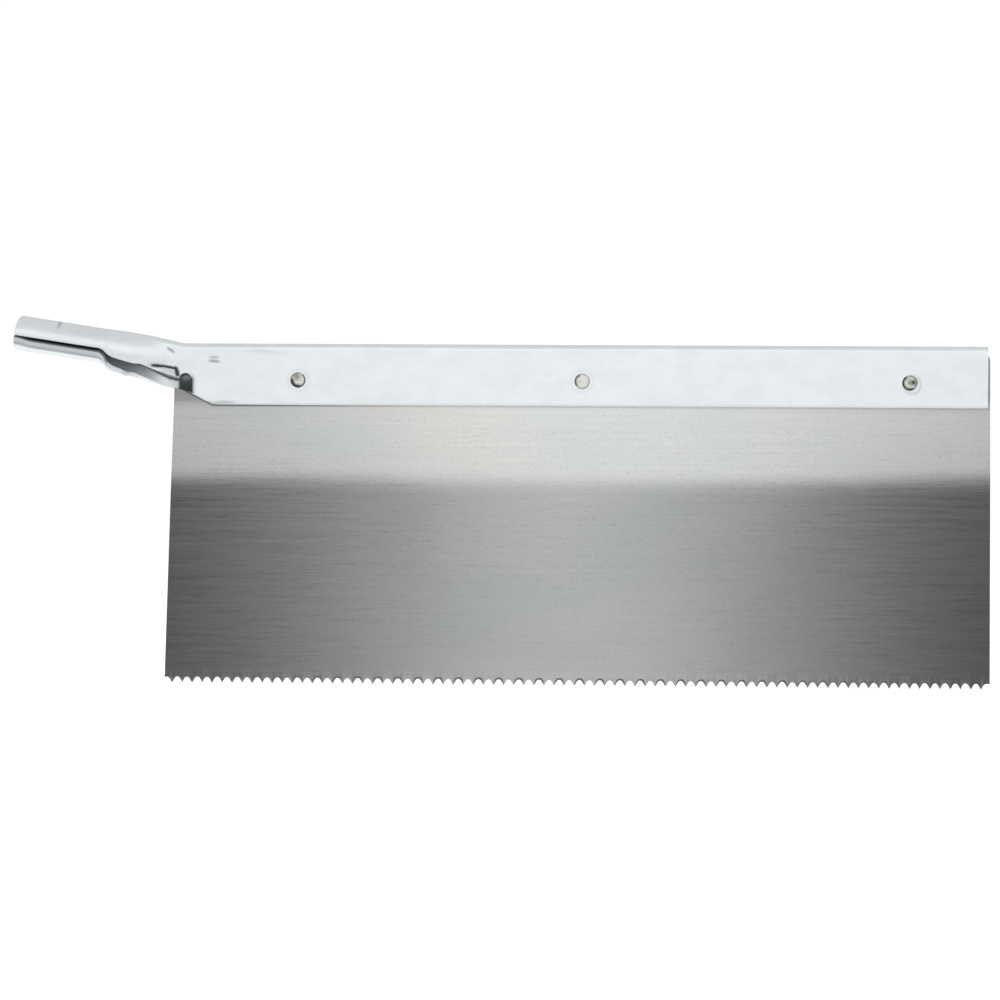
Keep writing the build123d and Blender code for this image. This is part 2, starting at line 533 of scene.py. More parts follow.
@dataclass(frozen=True)
class ZincPlate:
    """Bright zinc plating on the folded sheet.

    A pattern's three numbers are its features to a millimetre along X, Y and Z.
    """

    colour: Point = (0.885, 0.918, 0.945)
    patch: Point = (0.83, 0.882, 0.90)
    darkening: Point = (0.62, 0.64, 0.65)
    # Colour of the painted shade that the mesh carries.
    shade_tone: Point = (0.055, 0.065, 0.065)
    clouds: Point = (0.2, 0.2, 0.35)
    grains: Point = (1.3, 1.3, 1.6)
    specks: Point = (1.7, 1.7, 1.7)
    roughness: float = 0.34
    metal: float = 0.5
    relief: float = 0.003

    def make(self) -> bpy.types.Material:
        """Build the material.

        Returns:
            The finished material.
        """
        f = Finish("zinc_plate")
        cloud = f.pattern(self.clouds, 5.0, 0.65)
        grain = f.pattern(self.grains, 3.0, 0.6, 4.2)
        speck = f.pattern(self.specks, 1.0, 0.4, 9.4).step(0.80, 0.88)
        colour = f.blend(cloud.step(0.35, 0.65), self.colour, self.patch)
        colour = f.blend(speck * 0.5 + grain.step(0.72, 0.95) * 0.3, colour, self.darkening)
        # Painted shade from the mesh: darker dents and crease, rings round the rivet holes, the seam, the
        # slot, the inside of the tube and a painted shadow line under the front side's edge.
        painted_shade = f.shade_mask()
        colour = f.blend(painted_shade, colour, self.shade_tone)
        rough = self.roughness + (cloud - 0.5) * 0.08 + (grain - 0.5) * 0.08 + painted_shade * 0.2
        f.shade(colour, rough, grain * 0.6 + cloud * 0.4, self.relief, self.metal)
        return f.material


@dataclass(frozen=True)
class RivetSteel:
    """Plain steel wire of the rivets, cut and set.

    The pattern's three numbers are its features to a millimetre along X, Y and Z.
    """

    colour: Point = (0.86, 0.87, 0.80)
    dark: Point = (0.58, 0.59, 0.53)
    shadow: Point = (0.03, 0.032, 0.035)
    grains: Point = (2.4, 2.4, 2.4)
    roughness: float = 0.32
    metal: float = 0.6
    relief: float = 0.02

    def make(self) -> bpy.types.Material:
        """Build the material.

        Returns:
            The finished material.
        """
        f = Finish("rivet_steel")
        grain = f.pattern(self.grains, 4.0, 0.6)
        colour = f.blend(grain.step(0.5, 0.8) * 0.6, self.colour, self.dark)
        # Painted shade from the mesh: dark arcs round the rim of each recess and dark spots on the face.
        painted_shade = f.shade_mask()
        colour = f.blend(painted_shade, colour, self.shadow)
        f.shade(colour, self.roughness + (grain - 0.5) * 0.2, grain, self.relief, self.metal)
        return f.material


# ---- Geometry Nodes ----------------------------------------------------------


class Repeat(Enum):
    """What a repeating tree makes."""

    ROW = "row_of_gullets"
    PAIR = "two_ends"


class Repeater:
    """A modifier that repeats a piece's own mesh, welds the copies and gives them a material."""

    def __init__(self, kind: Repeat) -> None:
        """Build the tree.

        Args:
            kind: What the tree makes.
        """
        self.kind = kind
        self.group = bpy.data.node_groups.new(kind.value, "GeometryNodeTree")
        self.nodes = Nodes(self.group)
        self.keys: dict[str, str] = {}
        source = self._sockets()
        points = self._points(source)
        copies = self.nodes.add(
            "GeometryNodeInstanceOnPoints",
            Points=points,
            Instance=source.outputs["Geometry"],
            Rotation=self._turn(source),
        )
        real = self.nodes.add("GeometryNodeRealizeInstances", Geometry=copies.outputs[0])
        welded = self.nodes.add(
            "GeometryNodeMergeByDistance", Geometry=real.outputs[0], Distance=source.outputs["Weld"]
        )
        dressed = self.nodes.add(
            "GeometryNodeSetMaterial", Geometry=welded.outputs[0], Material=source.outputs["Finish"]
        )
        self.nodes.add("NodeGroupOutput", Geometry=dressed.outputs[0])

    def _sockets(self) -> bpy.types.Node:
        """Name the tree's inputs and its output.

        Returns:
            The node that gives the inputs.
        """
        wanted = {
            "Geometry": "NodeSocketGeometry",
            "Count": "NodeSocketInt",
            "Step": "NodeSocketVector",
            "Turn": "NodeSocketFloat",
            "Weld": "NodeSocketFloat",
            "Finish": "NodeSocketMaterial",
        }
        for name, kind in wanted.items():
            made = self.group.interface.new_socket(name, in_out="INPUT", socket_type=kind)
            self.keys[name] = made.identifier
        self.group.interface.new_socket("Geometry", in_out="OUTPUT", socket_type="NodeSocketGeometry")
        return self.nodes.add("NodeGroupInput")

    def _points(self, source: bpy.types.Node) -> bpy.types.NodeSocket:
        """Evenly spaced points, one for each copy.

        Args:
            source: The node that gives the inputs.

        Returns:
            The points.
        """
        line = self.nodes.add(
            "GeometryNodeMeshLine",
            {"mode": "OFFSET"},
            Count=source.outputs["Count"],
            Offset=source.outputs["Step"],
        )
        return line.outputs[0]

    def _turn(self, source: bpy.types.Node) -> bpy.types.NodeSocket:
        """Turn of each copy about Z, which grows from one to the next.

        Args:
            source: The node that gives the inputs.

        Returns:
            The rotation.
        """
        number = Maths(self.nodes, self.nodes.add("GeometryNodeInputIndex").outputs[0])
        angle = number * Maths(self.nodes, source.outputs["Turn"])
        about = self.nodes.add("ShaderNodeCombineXYZ", Z=angle)
        return self.nodes.add("FunctionNodeEulerToRotation", Euler=about.outputs[0]).outputs[0]

    def apply(self, made: bpy.types.Object, **values: object) -> None:
        """Run the tree on an object and keep the result as its plain mesh.

        Args:
            made: Object whose mesh is repeated.
            values: Value of each input, by its name.
        """
        modifier = made.modifiers.new(self.kind.value, "NODES")
        modifier.node_group = self.group
        for name, value in values.items():
            modifier[self.keys[name]] = value
        bake_modifiers(made)


# ---- The plate ---------------------------------------------------------------


@dataclass
class Plate:
    """Toothed steel plate, slightly bowed, with alternately filed gullets. Sizes in millimetres.

    The bow tilts the plate one way above its turn line and the other way below it. The land knee
    is where the plain edge past an end tooth bends, as shares of a gullet's half width and depth.
    """

    finish: bpy.types.Material
    tooth_count: int = 81
    heel_land: float = 1.2
    toe_land: float = 1.36
    land_knee: tuple[float, float] = (1.15, 0.97)
    half_tooth: float = math.radians(30)
    gullet_radius: float = 0.45
    columns_per_tooth: int = 8
    strip: float = 2.4
    bevel: float = 0.33
    bevel_start: float = 0.3
    bevel_uneven: float = 1.25
    # How far the faces that turn away from the sides (bevels, gullet walls, edges) are darkened: painted
    # shade.
    bevel_dark: float = 0.8
    shoulder: float = 0.15
    set_out: float = 0.012
    toe_corner: float = 0.8
    heel_lean: float = 1.7
    toe_lean: float = 0.4
    relief_low: float = -8.5
    relief_rise: float = 0.9
    relief_length: float = 2.1
    clamp_z: float = -10.0
    clamp_half: float = 1.0
    upper_tilt: float = math.radians(1.5)
    turn_half: float = 2.9
    turn_line: tuple = ((17, -22.5), (34, -22.3), (48, -22.4), (62, -22.9), (110, -22.7), (147, -21.7))

    def __post_init__(self) -> None:
        """Read the plate's place from the frame."""
        low, high = (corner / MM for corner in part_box("blade"))
        self.heel_x, self.toe_x = low.x, high.x
        self.tip_z, self.top_z = low.z, high.z
        self.half = (high.y - low.y) / 2
        self.first_tip = self.heel_x + self.heel_land
        self.last_tip = self.toe_x - self.toe_land
        self.pitch = (self.last_tip - self.first_tip) / (self.tooth_count - 1)
        self.strip_z = self.tip_z + self.strip

    def gullet(self) -> list[tuple[float, float, float, float]]:
        """Outline of one gullet, from one tip to the next.

        Returns:
            Across, up, and the direction into the metal, for each point.
        """
        middle = self.pitch / 2
        sharp = middle / math.tan(self.half_tooth)
        centre = sharp - self.gullet_radius / math.sin(self.half_tooth)
        into = (-math.cos(self.half_tooth), math.sin(self.half_tooth))
        start = (middle + self.gullet_radius * into[0], centre + self.gullet_radius * into[1])
        side = [(start[0] * share, start[1] * share, *into) for share in (0.0, 0.5)]
        arc = []
        for degrees in (150, 120, 90, 60, 30):
            across, up = math.cos(math.radians(degrees)), math.sin(math.radians(degrees))
            arc.append((middle + self.gullet_radius * across, centre + self.gullet_radius * up, across, up))
        mirrored = [(self.pitch - a, u, -n, m) for a, u, n, m in reversed(side)]
        return side + arc + mirrored

    def gullet_cell(self, filed_front: bool, shift: float) -> tuple[list[Point], list[list[int]]]:
        """One gullet and the metal above it.

        Args:
            filed_front: Whether the file's bevel opens towards the front.
            shift: Distance from the first tip.

        Returns:
            The points and faces.
        """
        outline = self.gullet()
        top = max(up for _, up, _, _ in outline)
        shoulder = self.tip_z + top + self.bevel + self.shoulder
        points: list[Point] = []
        lean = self.set_out if filed_front else -self.set_out
        middle = len(outline) // 2
        for side in (-1, 1):
            open_side = (side < 0) == filed_front
            for number, (across, up, n_across, n_up) in enumerate(outline):
                deep = 0.0
                if open_side and up > 0:
                    deep = self.bevel * (self.bevel_start + (1 - self.bevel_start) * up / top)
                    deep *= self.bevel_uneven if number > middle else 1.0
                bend = lean * (1 - up / top) * (1 if number < middle else -1)
                points.append(
                    (
                        self.first_tip + shift + across + n_across * deep,
                        side * self.half + bend,
                        self.tip_z + up + n_up * deep,
                    )
                )
            for z in (shoulder, self.strip_z):
                for number in range(len(outline)):
                    share = number / (len(outline) - 1)
                    points.append((self.first_tip + shift + self.pitch * share, side * self.half, z))
        count = len(outline)
        faces = []
        for k in range(count - 1):
            front, rear = k, k + 3 * count
            for row in (0, count):
                a, b = front + row, rear + row
                faces.append([a, a + 1, a + count + 1, a + count])
                faces.append([b, b + count, b + count + 1, b + 1])
            faces.append([front, rear, rear + 1, front + 1])
        return points, faces

    def teeth(self) -> bpy.types.Object:
        """Row of teeth: a pair of gullets, filed from opposite sides, repeated along the edge.

        Returns:
            The row.
        """
        first, faces = self.gullet_cell(True, 0.0)
        second, more = self.gullet_cell(False, self.pitch)
        faces = faces + [[k + len(first) for k in face] for face in more]
        row = mesh_object("teeth", first + second, faces)
        Repeater(Repeat.ROW).apply(
            row,
            Count=(self.tooth_count - 1) // 2,
            Step=(2 * self.pitch * MM, 0.0, 0.0),
            Turn=0.0,
            Weld=0.004 * MM,
            Finish=self.finish,
        )
        return row

    def lands(self) -> bpy.types.Object:
        """Plain edge beyond the first and the last tooth.

        Returns:
            Both ends in one object.
        """
        outline = self.gullet()
        flank = outline[2]
        root = max(up for _, up, _, _ in outline)
        knee, rise = self.land_knee[0] * root * math.tan(self.half_tooth), self.land_knee[1] * root
        points: list[Point] = []
        faces: list[list[int]] = []
        for share, tip, end in ((0.0, self.first_tip, self.heel_x), (1.0, self.last_tip, self.toe_x)):
            way = 1 if end > tip else -1
            corners = [(tip, self.tip_z), (tip + way * flank[0], self.tip_z + flank[1])]
            corners += [(tip + way * knee, self.tip_z + rise), (end, self.tip_z + root)]
            xs = self.columns_between(tip, self.edge_x(share, self.strip_z), way)
            base, count = len(points), len(xs)
            low = [self.along(corners, i / (count - 1)) for i in range(count)]
            for side in (-1, 1):
                for number, (x, z) in enumerate(low):
                    points.append((x, side * self.half + (self.set_out if number == 0 else 0.0), z))
                for z in (self.tip_z + root + self.bevel + self.shoulder, self.strip_z):
                    points.extend((x, side * self.half, z) for x in xs)
            for k in range(count - 1):
                front, rear = base + k, base + k + 3 * count
                for row in (0, count):
                    a, b = front + row, rear + row
                    faces.append([a, a + 1, a + count + 1, a + count])
                    faces.append([b, b + count, b + count + 1, b + 1])
                faces.append([front, rear, rear + 1, front + 1])
            for row in (0, count):
                front, rear = base + count - 1 + row, base + 4 * count - 1 + row
                faces.append([front, rear, rear + count, front + count])
        return mesh_object("lands", points, faces)

    @staticmethod
    def along(line: Sequence[tuple[float, float]], share: float) -> tuple[float, float]:
        """Point on a line, by the number of its corners.

        Args:
            line: The line's corners.
            share: 0 at its first corner and 1 at its last.

        Returns:
            Place and height of the point.
        """
        place = share * (len(line) - 1)
        index = min(int(place), len(line) - 2)
        (x0, z0), (x1, z1) = line[index], line[index + 1]
        rest = place - index
        return x0 + (x1 - x0) * rest, z0 + (z1 - z0) * rest

    def columns_between(self, tip: float, edge: float, way: int) -> list[float]:
        """Columns of the grid beyond an end tooth, from the tip outwards.

        Args:
            tip: Place of the tooth's tip.
            edge: Place of the plate's edge.
            way: -1 at the heel and 1 at the toe.

        Returns:
            The columns' places, both ends included.
        """
        spacing = self.pitch / self.columns_per_tooth
        count = max(2, round(abs(edge - tip) / spacing))
        return [tip + way * abs(edge - tip) * i / count for i in range(count + 1)]

    def edge_x(self, share: float, z: float) -> float:
        """Heel edge (share 0) or toe edge (share 1) at a height.

        Args:
            share: Which edge.
            z: Height.

        Returns:
            The edge's place along the plate.
        """
        up = (z - self.tip_z) / (self.top_z - self.tip_z)
        if share < 0.5:
            return self.heel_x + self.heel_lean * up
        x = self.toe_x - self.toe_lean * up
        over = z - (self.top_z - self.toe_corner)
        if over > 0:
            x -= self.toe_corner - math.sqrt(max(0.0, self.toe_corner**2 - over**2))
        return x

    def bow(self, x: float, rows: Sequence[float]) -> list[float]:
        """How far the plate stands off its middle plane along one column.

        Args:
            x: Place along the plate.
            rows: Heights, from the top down.

        Returns:
            The offset at each height, towards the rear.
        """
        turn = curve_through(self.turn_line, x)
        lower_tilt = -self.upper_tilt * (self.clamp_z - turn) / (turn - self.strip_z)
        offset, last, result = 0.0, rows[0], []
        for z in rows:
            steps = 8
            for i in range(steps):
                at = last + (z - last) * (i + 0.5) / steps
                held = smoothstep(self.clamp_z + self.clamp_half, self.clamp_z - self.clamp_half, at)
                share = smoothstep(turn + self.turn_half, turn - self.turn_half, at)
                slope = held * (self.upper_tilt * (1 - share) + lower_tilt * share)
                offset += slope * (z - last) / steps
            last = z
            result.append(offset)
        over = result[-1]
        return [value - over * smoothstep(self.clamp_z, rows[-1], z) for value, z in zip(result, rows)]

    def rows(self) -> list[float]:
        """Heights of the grid's rows, closest where the plate turns and at its round corner.

        Returns:
            The heights, from the teeth up.
        """
        corner = self.top_z - self.toe_corner
        return spread(
            (self.strip_z, -46.0, 1.5),
            (-46.0, -26.0, 1.6),
            (-26.0, -16.0, 0.5),
            (-16.0, self.relief_low, 1.0),
            (self.relief_low, corner, 1.5),
            (corner, self.top_z, 0.12),
        )

    def columns(self) -> list[float]:
        """Places of the grid's columns along its lowest row, which meet those of the teeth.

        Returns:
            The places, from the heel to the toe.
        """
        spacing = self.pitch / self.columns_per_tooth
        count = (self.tooth_count - 1) * self.columns_per_tooth
        heel = self.columns_between(self.first_tip, self.edge_x(0, self.strip_z), -1)[:0:-1]
        teeth = [self.first_tip + spacing * i for i in range(count + 1)]
        toe = self.columns_between(self.last_tip, self.edge_x(1, self.strip_z), 1)[1:]
        return heel + teeth + toe

    def sheet(self) -> bpy.types.Object:
        """The plate above the row of teeth.

        Returns:
            The sheet, open along its lower edge.
        """
        rows, columns = self.rows(), self.columns()
        step_row = rows.index(self.relief_low)
        step_x = self.edge_x(0, self.relief_low) + self.relief_length
        cut = next(i for i, x in enumerate(columns) if x > step_x)
        points: list[Point] = []
        for side in (-1, 1):
            for i, base in enumerate(columns):
                share = (base - columns[0]) / (columns[-1] - columns[0])
                offsets = self.bow(base, rows[::-1])[::-1]
                for j, z in enumerate(rows):
                    start, end = self.edge_x(0, z), self.edge_x(1, z)
                    x = base if j == 0 else start + (end - start) * share
                    if j == step_row and i < cut:
                        z += self.relief_rise * (1 - i / cut)
                    points.append((x, side * self.half + offsets[j], z))
        high, size = len(rows), len(columns) * len(rows)
        faces: list[list[int]] = []
        edges: dict[tuple[int, int], None] = {}
        for i in range(len(columns) - 1):
            for j in range(step_row if i < cut else high - 1):
                face = [i * high + j, (i + 1) * high + j, (i + 1) * high + j + 1, i * high + j + 1]
                faces += [face, [k + size for k in reversed(face)]]
                edges.update(dict.fromkeys(zip(face, face[1:] + face[:1])))
        for a, b in edges:
            at_teeth = a % high == 0 and b % high == 0
            if (b, a) not in edges and not at_teeth:
                faces.append([b, a, a + size, b + size])
        return mesh_object("blade_plate", points, faces)

    def build(self) -> bpy.types.Object:
        """Make the plate and fasten it to the frame.

        Returns:
            The piece.
        """
        made = self.sheet()
        join(made, self.teeth())
        join(made, self.lands())
        weld(made, distance=0.01, sharp=35)
        # Painted shade: faces that turn away from the sides are darkened in colour.
        painted_shade = made.data.attributes.new(SHADE_ATTRIBUTE, "FLOAT", "FACE")
        turned = [abs(face.normal.y) < 0.95 for face in made.data.polygons]
        painted_shade.data.foreach_set("value", [self.bevel_dark * edge for edge in turned])
        made.data.materials.clear()
        made.data.materials.append(self.finish)
        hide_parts("blade")
        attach(made, BODY)
        log.info("%s: %d faces", made.name, len(made.data.polygons))
        return made


# ---- The folded back ---------------------------------------------------------


@dataclass(frozen=True)
class Dent:
    """A shallow mark in the sheet: a short line pressed in. Sizes in millimetres, slope in radians."""

    x: float
    z: float
    length: float
    width: float
    depth: float
    slope: float = 0.0

    def at(self, x: float, z: float) -> float:
        """Depth of the mark at a place on the side.

        Args:
            x: Place along the back.
            z: Height.

        Returns:
            The depth.
        """
        dx, dz = x - self.x, z - self.z
        cosine, sine = math.cos(self.slope), math.sin(self.slope)
        along = (dx * cosine + dz * sine) / self.length
        across = (dz * cosine - dx * sine) / self.width
        return self.depth * math.exp(-(along**4) - across**2)


@dataclass
class Station:
    """One section of the sheet: its plane and how the sheet is bent in it.

    The roll is 1 where the sheet is a tube and 0 where it is a flat fold; front and rear are the
    flat widths of its sides, and the flare is the angle that is bent into the front side at the
    crease, which lies that far from the side's edge.
    """

    x: float
    origin: Vector
    up: Vector
    roll: float
    front: float
    rear: float
    flare: float = 0.0
    crease: float = 0.0


@dataclass
class FoldedBack:
    """Folded, necked and rolled sheet of the back and its tang. Sizes in millimetres.

    A row of the neck is its share of the way, the roll, and the widths of the front and the rear.
    """

    finish: bpy.types.Material
    rivet_xs: Sequence[float]
    rivet_z: float
    thickness: float = 0.8
    plate: float = 0.38
    heel_x: float = 19.9
    tang_radius: float = 2.75
    tang_half: float = 7.0
    end_close: float = 0.3
    end_trim: float = 0.4
    end_round: float = 0.7
    end_drop: float = 0.6
    tilt: float = math.radians(8.6)
    crown: float = 0.22
    neck: tuple = (
        (0.00, 1.00, 4.10, 10.30),
        (0.05, 0.96, 4.28, 10.20),
        (0.11, 0.82, 4.68, 10.05),
        (0.19, 0.75, 4.92, 9.95),
        (0.29, 0.72, 5.09, 9.60),
        (0.40, 0.65, 5.18, 7.90),
        (0.50, 0.50, 4.97, 7.60),
        (0.60, 0.35, 5.15, 7.52),
        (0.70, 0.20, 5.45, 7.42),
        (0.85, 0.00, 5.95, 7.50),
        (1.00, 0.00, 5.85, 7.85),
    )
    slot: tuple[float, float] = (19.4, 21.1)
    slot_drop: float = 4.7
    slot_round: float = 0.8
    flange_drop: float = 7.8
    flange_x: float = 24.4
    corner_cut: float = 0.25
    corner_half: float = 0.7
    facet_x: float = 14.9
    facet_turn: float = math.radians(34)
    crease_near: float = 0.15
    crease_reach: float = 1.25
    crease_half: float = 0.17
    lip_bulge: float = 0.4
    unevenness: float = 0.03
    edge: float = 0.13
    # Painted shade in a dent, for each millimetre of its depth.
    dent_dark: float = 22.0
    slot_edge_low: float = 4.9
    slot_edge_drop: float = 0.55
    slot_edge_run: float = 0.9
    hole_radius: float = 1.21
    seam: float = 0.14
    # Offset of the painted shade ring round each rivet hole, along the back and down.
    ring_shifts: tuple[float, ...] = (0.05, 0.0, 0.35)
    fold_gap: float = 1.3
    fold_bend: float = 0.42
    fold_steps: int = 6
    dents: tuple = (
        Dent(24.75, -2.8, 0.75, 0.22, 0.02),
        Dent(24.75, -3.42, 0.85, 0.2, 0.032, -0.08),
        Dent(17.95, -1.7, 0.7, 0.18, 0.032, -0.6),
        Dent(33.0, -1.9, 3.0, 0.25, 0.006, -0.1),
        Dent(16.9, -4.3, 1.7, 0.24, 0.1, -0.16),
        Dent(18.95, -5.2, 0.85, 0.24, 0.1, -1.3),
        Dent(26.4, -9.9, 1.7, 0.2, 0.024),
        Dent(0.4, 1.95, 0.16, 0.5, 0.02),
    )

    def __post_init__(self) -> None:
        """Work out the fold from the frame and the sheet."""
        low, high = (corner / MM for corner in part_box("back"))
        self.toe_x, self.low_z = high.x, low.z
        self.half = self.thickness / 2
        self.fold_flat = (self.thickness + self.plate) / 2 - self.fold_bend
        self.fold_half = self.fold_flat + self.fold_bend * math.pi / 2
        self.roll_radius = self.tang_radius - self.half
        self.axis = Vector((math.cos(self.tilt), 0, -math.sin(self.tilt)))
        self.axis_up = Vector((math.sin(self.tilt), 0, math.cos(self.tilt)))
        self.top_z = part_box("blade")[1].z / MM + self.fold_gap
        self.height = self.top_z - self.low_z
        self.full = self.width_at(self.height)

    def width_at(self, drop: float) -> float:
        """Flat width of the sheet from the top of the fold down to a drop below the top."""
        return drop - self.half - self.fold_bend + self.fold_half

    def front_width(self, x: float, plain: float) -> float:
        """Width of the front side past the neck, with its slot and slanted corner.

        Args:
            x: Place along the back.
            plain: Width that the neck gives there.

        Returns:
            The width.
        """
        start, end = self.slot
        if x < start:
            return plain
        if x <= end:
            share = (x - (start + end) / 2) / ((end - start) / 2)
            arch = 1 - math.sqrt(max(0.0, 1 - share * share))
            return self.width_at(self.slot_drop + self.slot_round * arch)
        slant = self.flange_drop + (self.height - self.flange_drop) * (x - end) / (self.flange_x - end)
        corner = self.corner_cut * bell(x, self.flange_x, self.corner_half)
        return self.width_at(min(slant, self.height)) - corner

    def rear_width(self, x: float, plain: float) -> float:
        """Width of the rear side past the neck.

        Args:
            x: Place along the back.
            plain: Width that the neck gives there.

        Returns:
            The width.
        """
        if x < self.heel_x:
            return plain
        share = min(1.0, (x - self.heel_x) / (self.flange_x - self.heel_x))
        return plain + (self.full - plain) * share

    def tang_stations(self) -> list[Station]:
        """Sections of the tang, closest at its cut end.

        Returns:
            The sections in order.
        """
        _, roll, front, rear = self.neck[0]
        end = -self.tang_half + self.end_trim
        made = []
        for place in spread((end, end + 1.2, 0.1), (end + 1.2, self.tang_half, 0.5)):
            origin = self.axis * place + self.axis_up * self.roll_radius
            closed = rear + self.end_close * smoothstep(-3.5, end, place)
            made.append(Station(origin.x, origin, self.axis_up, roll, front, closed))
        return made

    def neck_stations(self) -> list[Station]:
        """Sections of the neck, which opens from the tang's tube into the fold.

        Returns:
            The sections in order.
        """
        rolls, fronts, rears = ([(row[0], row[k]) for row in self.neck] for k in (1, 2, 3))
        start = self.axis * self.tang_half + self.axis_up * self.roll_radius
        end = Vector((self.heel_x, 0, self.top_z - self.half))
        slot = (self.slot[0] - start.x) / (end.x - start.x)
        before, after = slot - 0.001, slot + 0.001
        shares = spread((0.0, 0.6, 0.02), (0.6, before, 0.01), (before, after, 0.01), (after, 1.0, 0.01))
        made = []
        for share in shares[1:]:
            origin = start + (end - start) * share + self.axis_up * (self.crown * math.sin(math.pi * share))
            angle = self.tilt * (1 - share)
            up = Vector((math.sin(angle), 0, math.cos(angle)))
            front = self.front_width(origin.x, curve_through(fronts, share))
            rear = self.rear_width(origin.x, curve_through(rears, share))
            facet = smoothstep(self.facet_x, 17.2, origin.x) * (origin.x < self.slot[0])
            crease = self.crease_reach * smoothstep(self.facet_x, 17.6, origin.x) + self.crease_near
            roll = curve_through(rolls, share)
            made.append(Station(origin.x, origin, up, roll, front, rear, self.facet_turn * facet, crease))
        return made

    def spine_stations(self) -> list[Station]:
        """Sections of the straight fold, closest at the slot, the rivets and the toe.

        Returns:
            The sections in order.
        """
        slot = self.slot[1]
        zones = [(self.heel_x, slot - 0.02, 0.1), (slot - 0.02, slot + 0.02, 0.04)]
        zones += [(slot + 0.02, 22.2, 0.1), (22.2, self.flange_x, 0.2), (self.flange_x, 29.0, 0.25)]
        at = 29.0
        for x in self.rivet_xs:
            zones += [(at, x - 2.2, 1.2), (x - 2.2, x + 2.2, 0.2)]
            at = x + 2.2
        zones += [(at, self.toe_x - 0.4, 1.2), (self.toe_x - 0.4, self.toe_x, 0.1)]
        _, roll, front, rear = self.neck[-1]
        made = []
        for x in spread(*zones)[1:]:
            origin = Vector((x, 0, self.top_z - self.half))
            widths = self.front_width(x, front), self.rear_width(x, rear)
            made.append(Station(x, origin, Vector((0, 0, 1)), roll, *widths))
        return made

    def side(self, station: Station, width: float, cells: Sequence[float], flared: bool) -> list[Spot]:
        """Middle line of one side of the sheet in a section.

        Args:
            station: The section.
            width: Flat width of this side.
            cells: Places across the side, as shares of its width past the fold, from 0 to 1.
            flared: Whether the section's flare is bent into this side.

        Returns:
            Across, down, heading and flat place of each point, from the top of the fold.
        """
        gentle = station.roll / self.roll_radius
        tight = (1 - station.roll) / self.fold_bend + gentle
        flat, bent, cuts = self.fold_flat, self.fold_half, self.fold_steps
        places = [0.0, flat / 2, flat] + [flat + (bent - flat) * i / cuts for i in range(1, cuts + 1)]
        places += [bent + (width - self.edge - bent) * share for share in cells[1:]]
        across = down = heading = 0.0
        points = [(0.0, 0.0, 0.0, 0.0)]
        crease = width - station.crease
        steps = 3
        for last, place in zip(places, places[1:]):
            for i in range(steps):
                length = (place - last) / steps
                at = last + length * (i + 0.5)
                curvature = tight if flat < at < bent else gentle
                if flared and abs(at - crease) < self.crease_half:
                    curvature -= station.flare / (2 * self.crease_half)
                heading += curvature * length / 2
                across += math.cos(heading) * length
                down += math.sin(heading) * length
                heading += curvature * length / 2
            points.append((across, down, heading, place))
        return points

    def wave(self, x: float, flat: float) -> float:
        """Slight unevenness of the side, out of true."""
        share = smoothstep(1.5, 4.0, abs(flat)) * smoothstep(9.0, 20.0, x)
        return self.unevenness * noise.noise(Vector((x / 17, flat / 9, 2.3))) * share

    def ring(
        self, station: Station, front_cells: Sequence[float], rear_cells: Sequence[float]
    ) -> tuple[list[Vector], list[float]]:
        """Closed loop of points around the sheet in one section.

        Args:
            station: The section.
            front_cells: Shares across the front side.
            rear_cells: Shares across the rear side.

        Returns:
            The points, outer skin first, and how much painted shade each gets.
        """
        front = [(-a, d, -h, -w) for a, d, h, w in self.side(station, station.front, front_cells, True)]
        rear = self.side(station, station.rear, rear_cells, False)
        outer, outer_shade, inner, inner_shade = [], [], [], []
        for spot in front[:0:-1] + rear:
            _, down, _, flat = spot
            true = self.wave(station.x, flat) + self.bulge(station.x, flat)
            pressed, darkening = self.press(station, down, flat)
            outer.append(self.place(station, spot, self.half - pressed + true))
            outer_shade.append(darkening)
            inner.append(self.place(station, spot, true - self.half))
            inner_shade.append(self.inner_shade_at(station, down - front[-1][1], flat))
        rear_end = self.rounded_end(station, rear[-1], 1)
        front_end = self.rounded_end(station, front[-1], -1)
        # Painted shadow along the sheared edge of the front side, fading past the neck; the rear edge takes
        # the painted shade of its skins.
        neck = smoothstep(20.0, 18.5, station.x)
        rear_end_shade = [outer_shade[-1], outer_shade[-1], inner_shade[-1], inner_shade[-1]]
        front_end_shade = [1.0, 1.0, 0.75 * neck, 0.3 * neck]
        points = outer + rear_end + inner[::-1] + front_end
        return points, outer_shade + rear_end_shade + inner_shade[::-1] + front_end_shade

    def press(self, station: Station, down: float, flat: float) -> tuple[float, float]:
        """How far the outer skin is pressed in at a place, and its painted shade: darker dents and crease,
        a ring round each rivet hole, and the slot's rolled edge.

        Args:
            station: The section.
            down: Drop below the top of the fold.
            flat: Flat place from the top of the fold, negative on the front.

        Returns:
            The depth, and the painted shade from 0 to 1.
        """
        if flat >= 0:
            return 0.0, self.seam_shade(station, flat)
        x, z = station.x, station.origin.z - down
        depth = sum(dent.at(x, z) for dent in self.dents if abs(x - dent.x) < 3 * dent.length)
        # Painted shade in the dents and the crease.
        darkening = min(1.0, depth * self.dent_dark)
        # Painted shade ring round each rivet hole.
        for rivet_x, shift in zip(self.rivet_xs, self.ring_shifts):
            if abs(x - rivet_x) < 3:
                away = math.hypot(x - rivet_x - shift, z - self.rivet_z + shift)
                darkening += (0.07 + 0.6 * shift) * bell(away, 1.75 - 1.3 * shift, 0.2)
